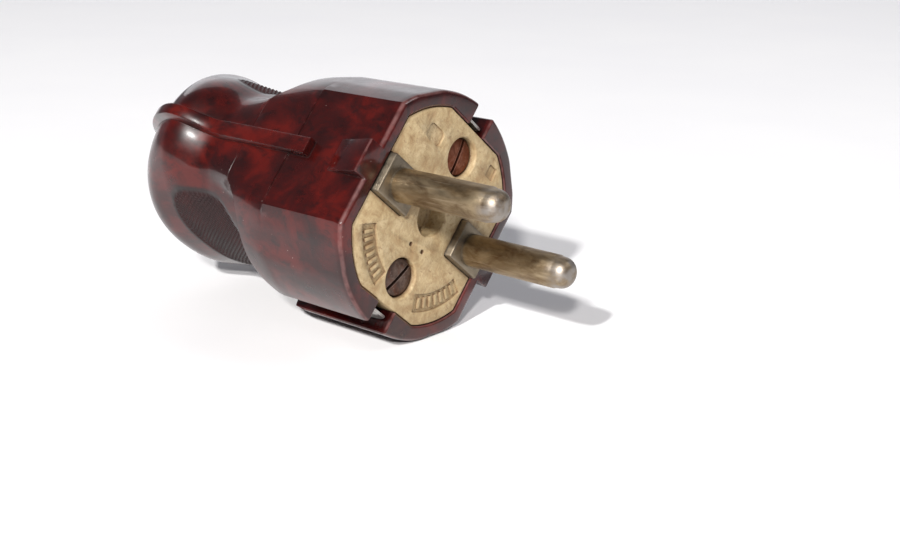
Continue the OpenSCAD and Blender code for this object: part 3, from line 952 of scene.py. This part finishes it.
def pin(node):
    """Pin with a domed tip, a rectangular foot and a threaded tail."""
    low, high = drawn_box(node)
    centre = (middle(low, high)[0], 0)
    tip = high[0]
    profile = [(-3.0, PIN_R), (1.0, PIN_R), (8.0, PIN_R), (14.0, PIN_R), (tip - 2.6, PIN_R),
               (tip - 2.35, PIN_R - 0.1), (tip - DOME_LENGTH - 0.2, PIN_R - 0.14)]
    steps = 8
    for i in range(1, steps + 1):
        a = math.pi / 2 * i / steps
        x = tip - DOME_LENGTH + DOME_LENGTH * math.sin(a)
        profile.append((x, PIN_R - 0.16 - 1.55 * (1 - math.cos(a))))
    profile.append((tip, 0.2))
    shank = revolve("shank", profile, centre, columns=72)
    foot = prism("foot", rounded_outline(high[1] - low[1], high[2] - low[2], 0.3, centre), FOOT_BACK, 1.0)
    soften(foot, 0.35, angle=60)
    combine(foot, "UNION", shank)
    tail = threaded("tail", -3.1, low[0], 2.0, 0.7, centre)
    piece = join("contact_" + node, foot, tail)
    return finish_piece(piece, "carrier", "pin_metal", PIN_METAL, node)


def nut_hex(node):
    low, high = drawn_box(node)
    centre = middle(low, high)
    across = min(high[1] - low[1], high[2] - low[2]) / 2
    corner = across / math.cos(math.pi / 6)
    turns = [math.pi / 3 * k for k in range(6)]
    outline = [(centre[0] + corner * math.sin(a), centre[1] + corner * math.cos(a)) for a in turns]
    piece = prism("hex_" + node, outline, low[0], high[0])
    soften(piece, 0.2)
    thread = [(low[0] - 1, 2.3), (low[0] + 0.25, 2.02), (high[0] + 1, 2.02)]
    cut(piece, revolve("thread", thread, centre))
    return finish_piece(piece, "carrier", "terminal_brass", BRASS, node)


def washer(node, body, slot, material, hole):
    """Flat ring whose inner radius is hole."""
    low, high = drawn_box(node)
    outer = half_across(low, high)
    soft = 0.12
    profile = [(low[0], hole), (low[0], outer - soft), (low[0] + soft, outer), (high[0] - soft, outer),
               (high[0], outer - soft), (high[0], hole)]
    piece = revolve("ring_" + node, profile, middle(low, high), ring=True)
    return finish_piece(piece, body, slot, material, node)


def terminal_nut(node):
    """Round brass nut with a knurled rim and a driver slot across its back."""
    low, high = drawn_box(node)
    centre = middle(low, high)
    outer = half_across(low, high)
    teeth = 36
    outline = []
    for k in range(2 * teeth):
        radius = outer if k % 2 == 0 else outer - 0.16
        turn = math.pi * k / teeth
        outline.append((centre[0] + radius * math.cos(turn), centre[1] + radius * math.sin(turn)))
    piece = prism("round_" + node, outline, low[0], high[0])
    cap = revolve("cap", [(low[0] - 1, outer - 1.3), (low[0] + 0.3, outer),
                          (high[0] - 0.3, outer), (high[0] + 1, outer - 1.3)], centre)
    combine(piece, "INTERSECT", cap)
    half = 0.45
    slot = block("slot", (low[0] - 1, centre[0] - half, -5), (low[0] + 0.9, centre[0] + half, 5))
    hole = revolve("thread", [(low[0] - 1, 2.05), (high[0] + 1, 2.05)], centre)
    cut(piece, slot, hole)
    return finish_piece(piece, node, "terminal_brass", BRASS, node)


def slotted_screw(name, head, head_r, head_t, end, shank_r, pitch, turn, centre=(0, 0)):
    """A cheese-head screw along x whose head's top is at head and whose thread ends at end."""
    way = 1 if head > end else -1
    crown = 0.15
    soft = 0.22
    profile = [(head_t, shank_r * 0.8), (head_t, head_r - 0.1), (head_t - 0.1, head_r),
               (soft + crown, head_r), (0.3 * soft + crown, head_r - 0.3 * soft),
               (crown, head_r - soft), (0.3 * crown, head_r * 0.55), (0, 0.3)]
    screw_head = revolve("head", [(head - way * depth, radius) for depth, radius in profile], centre)
    deep = 0.45 * head_t
    half = 0.26
    slot = block("slot", (-deep, -half, -head_r - 1), (deep, half, head_r + 1))
    slot.data.transform(Matrix.Translation((head, centre[0], centre[1])) @ Matrix.Rotation(turn, 4, "X"))
    cut(screw_head, slot)
    soften(screw_head, 0.05, 1)
    thread = threaded("thread", head - way * (head_t - 0.05), end, shank_r, pitch, centre)
    return join(name, screw_head, thread)


def fixing_screw(node, turn, material):
    low, high = drawn_box(node)
    centre = (0, middle(low, high)[1])
    piece = slotted_screw("cheese_" + node, high[0], half_across(low, high), 2.0, low[0],
                          *SCREW_THREAD, turn, centre)
    return finish_piece(piece, node, "dark_steel", material, node)


def fixing_insert(node):
    """Brass insert with a groove round its middle, moulded into a post."""
    low, high = drawn_box(node)
    centre = (0, middle(low, high)[1])
    outer = half_across(low, high)
    groove = outer - 0.25
    profile = [(low[0], 1.55), (low[0], outer - 0.1), (low[0] + 0.1, outer), (-15.6, outer), (-15.4, groove),
               (-14.8, groove), (-14.6, outer), (high[0] - 0.1, outer), (high[0], outer - 0.1),
               (high[0], 1.85), (high[0] - 0.3, 1.55)]
    piece = revolve("sleeve_" + node, profile, centre, ring=True)
    return finish_piece(piece, "housing", "terminal_brass", BRASS, node)


# ---- earth parts and cord clamp

FIXING_E = 9.9  # the fixing screws, along the earth line
CLAMP_X = -26.5  # the clamp screws
CLAMP_P = 5.1
CLAMP_HOLE_R = 1.2


def earth_bridge():
    """Strip across the carrier's back, with holes for the fixing screws and the earth screw."""
    low, high = drawn_box("earth_bridge")
    outline = rounded_outline(high[1] - low[1], high[2] - low[2], 0.5)
    piece = prism("earth_strip", outline, low[0], high[0])
    holes = []
    for e, radius in ((-FIXING_E, 1.65), (0, 1.55), (FIXING_E, 1.65)):
        holes.append(revolve("hole", [(low[0] - 1, radius), (high[0] + 1, radius)], (0, e)))
    cut(piece, *holes)
    soften(piece, 0.08)
    return finish_piece(piece, "carrier", "earth_strip", STRIP, "earth_bridge")


def earth_contact(node, side):
    """Leaf of the earth line: a thin strip, slightly bowed, with a turned-in front end."""
    low, high = drawn_box(node)
    distance = abs(middle(low, high)[1])
    steps = 20
    section = rounded_outline(2 * half_across(low, high), high[2] - low[2], 0.16, steps=3)
    points = []
    for i in range(steps + 1):
        t = i / steps
        x = low[0] + (high[0] - low[0]) * t
        lift = 0.12 * math.sin(math.pi * t) - 0.1 * t**6
        width = 1 - 0.12 * max(0, (t - 0.9) / 0.1) ** 2
        thickness = 1 - 0.5 * max(0, (t - 0.93) / 0.07) ** 2
        for p, e in section:
            points.append((x, p * width, side * (distance + lift + e * thickness)))
    piece = tube("leaf_" + node, points, len(section))
    return finish_piece(piece, node, "earth_strip", STRIP, node)


def earth_screw():
    low, high = drawn_box("earth_screw")
    piece = slotted_screw("cheese_earth_screw", low[0], half_across(low, high), 1.8, high[0],
                          *SCREW_THREAD, 0.5)
    return finish_piece(piece, "earth_screw", "plated_steel", PLATED, "earth_screw")


def clamp_holes(low_e, high_e):
    """Cutters for the clamp screws, along the earth line."""
    outlines = [circle_outline(CLAMP_HOLE_R, (CLAMP_X, p)) for p in (-CLAMP_P, CLAMP_P)]
    return [prism("hole", outline, low_e, high_e, axis="e") for outline in outlines]


def clamp_bracket():
    """Angle whose foot lies on the earth strip and whose tongue runs back under the cord."""
    low, high = drawn_box("clamp_bracket")
    half = 4.5
    sheet = 1
    foot = block("bracket_foot", (high[0] - sheet, -half, low[2]), (high[0], half, high[2]))
    tongue = block("bracket_tongue", (low[0], -half, low[2]), (high[0], half, low[2] + sheet))
    wide = block("bracket_wide", (CLAMP_X - 3, low[1], low[2]), (CLAMP_X + 3, high[1], low[2] + sheet))
    combine(foot, "UNION", tongue, wide)
    holes = clamp_holes(low[2] - 1, low[2] + 2)
    holes.insert(0, revolve("hole", [(high[0] - 2, 1.65), (high[0] + 1, 1.65)]))
    for k in (-1, 0, 1):
        outline = rounded_outline(0.5, 7, 0.2, (CLAMP_X + 1.6 * k, 0))
        holes.append(prism("groove", outline, low[2] + 0.75, low[2] + 2, axis="e"))
    cut(foot, *holes)
    soften(foot, 0.15)
    foot.name = "angle_bracket"
    return finish_piece(foot, "carrier", "plated_steel", PLATED, "clamp_bracket")


def clamp_bar():
    low, high = drawn_box("clamp_bar")
    outline = rounded_outline(high[0] - low[0], high[1] - low[1], 1.4, ((low[0] + high[0]) / 2, 0))
    piece = prism("fibre_bar", outline, low[2], high[2], axis="e")
    cut(piece, *clamp_holes(low[2] - 1, high[2] + 1))
    soften(piece, 0.15)
    return finish_piece(piece, "clamp_bar", "hard_fibre", FIBRE, "clamp_bar")


def clamp_screw(node):
    """Drawn along x and then turned to stand along the earth line."""
    low, high = drawn_box(node)
    piece = slotted_screw("cheese_" + node, 0, half_across(low, high), 1.3, low[2] - high[2],
                          *CLAMP_THREAD, 0.4)
    place = Matrix.Translation(((low[0] + high[0]) / 2, middle(low, high)[0], high[2]))
    piece.data.transform(place @ Matrix.Rotation(-math.pi / 2, 4, "Y"))
    return finish_piece(piece, node, "plated_steel", PLATED, node)


# ---- scene

CAMERA_PLACE = Vector((0.1296, -0.1397, 0.0507))
CAMERA_LOOK = Vector((-0.640, 0.7075, -0.299))
CAMERA_LENS = 55.7
LIGHT_CENTRE = Vector((-0.01, 0, 0))


def camera():
    data = bpy.data.cameras.new("camera")
    data.lens = CAMERA_LENS
    data.sensor_width = 36
    data.clip_start = 0.005
    eye = linked("camera", data)
    eye.location = CAMERA_PLACE
    eye.rotation_euler = CAMERA_LOOK.to_track_quat("-Z", "Y").to_euler()
    bpy.context.scene.camera = eye


def area_light(name, azimuth, elevation, distance, size, power, colour):
    """A disc of light that faces the plug from a direction given in degrees."""
    across, up = math.radians(azimuth), math.radians(elevation)
    way = Vector((math.cos(across) * math.cos(up), math.sin(across) * math.cos(up), math.sin(up)))
    data = bpy.data.lights.new(name, "AREA")
    data.shape = "DISK"
    data.size = size
    data.energy = power
    data.color = colour
    light = linked(name, data)
    light.location = LIGHT_CENTRE + distance * way
    light.rotation_euler = way.to_track_quat("Z", "Y").to_euler()


def studio():
    """Two small lamps at the front left, a wide pale sheet behind and a soft lamp at the right."""
    scene = bpy.context.scene
    scene.view_settings.view_transform = "Standard"
    world = bpy.data.worlds.new("studio")
    world.use_nodes = True
    background = world.node_tree.nodes["Background"]
    background.inputs["Color"].default_value = (0.90, 0.90, 1.0, 1)
    background.inputs["Strength"].default_value = 0.12
    scene.world = world
    area_light("key", -71, 35.5, 1.7, 0.085, 33, (1.0, 0.985, 0.965))
    area_light("fill", -53, 28, 1.7, 0.12, 22, (1.0, 0.975, 0.95))
    area_light("back", 132, 27, 1.3, 1.55, 5.2, (0.97, 0.97, 1.0))
    area_light("right", 35, 42, 1.1, 0.45, 1.8, (0.97, 0.97, 1.0))
    half = 3.0
    z = cad_low.z - 0.02 * MM
    floor = new_object("floor", [(-half, -half, z), (half, -half, z), (half, half, z), (-half, half, z)],
                       [(0, 1, 2, 3)])
    if floor.data.polygons[0].normal.z < 0:
        floor.data.flip_normals()
    floor.data.materials.append(floor_finish())


camera()
studio()

BAKELITE = bakelite()
CREAM = pressed_insert()
PIN_METAL = pin_metal()
BRASS = metal("terminal_brass", (0.42, 0.28, 0.10), (0.70, 0.52, 0.24), (0.25, 0.5), tarnish_amount=0.3)
STRIP = metal("earth_strip", (0.38, 0.37, 0.35), (0.62, 0.61, 0.58), (0.3, 0.5), tarnish_amount=0.25)
PLATED = metal("plated_steel", (0.30, 0.30, 0.29), (0.55, 0.55, 0.53), (0.28, 0.5), tarnish_amount=0.3)
DARK_STEEL = metal("dark_steel", (0.07, 0.045, 0.038), (0.19, 0.135, 0.11), (0.45, 0.65),
                   tarnish=(0.13, 0.05, 0.03), tarnish_amount=0.8)
RUSTY_STEEL = metal("rusty_steel", (0.09, 0.03, 0.018), (0.26, 0.10, 0.06), (0.5, 0.7),
                    tarnish=(0.16, 0.045, 0.02), tarnish_amount=0.9)
FIBRE = hard_fibre()

housing()
contact_carrier()
fixing_insert("fixing_insert_upper")
fixing_insert("fixing_insert_lower")
for side in ("left", "right"):
    pin("pin_" + side)
    nut_hex("pin_nut_" + side)
    washer("terminal_washer_" + side, "carrier", "terminal_brass", BRASS, 2.1)
    terminal_nut("terminal_nut_" + side)
    clamp_screw("clamp_screw_" + side)
earth_bridge()
earth_contact("earth_contact_upper", 1)
earth_contact("earth_contact_lower", -1)
washer("earth_washer", "carrier", "plated_steel", PLATED, 1.65)
earth_screw()
clamp_bracket()
clamp_bar()
fixing_screw("fixing_screw_lower", -0.35, DARK_STEEL)
fixing_screw("fixing_screw_upper", 0.15, RUSTY_STEEL)
